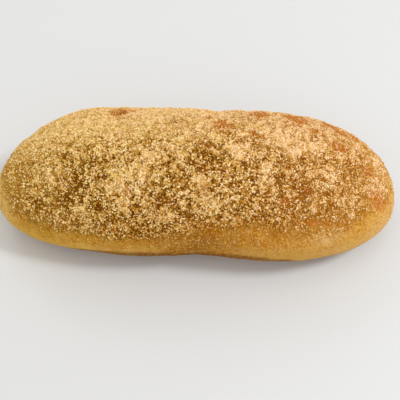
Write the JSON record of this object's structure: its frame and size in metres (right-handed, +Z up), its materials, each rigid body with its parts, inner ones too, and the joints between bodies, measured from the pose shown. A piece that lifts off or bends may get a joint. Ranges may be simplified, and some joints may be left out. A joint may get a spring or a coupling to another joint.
{
  "type": "kinako fried bun",
  "caption": "Long soft fried bread bun lying on its flat foot, coated in roasted soybean flour and sugar, with a bare band along its lower side.",
  "frame": {"origin": "centre of the base, on the surface that the bun rests on", "axes": "+X along the bun towards its right end as pictured, +Y to its back long side, +Z up out of its crown"},
  "size_m": [0.1798, 0.0712, 0.0496],
  "materials": {
    "crust": "golden brown fried crust under tan, sandy soybean flour"
  },
  "bodies": {
    "root": {"bun": "crust"}
  },
  "joints": []
}
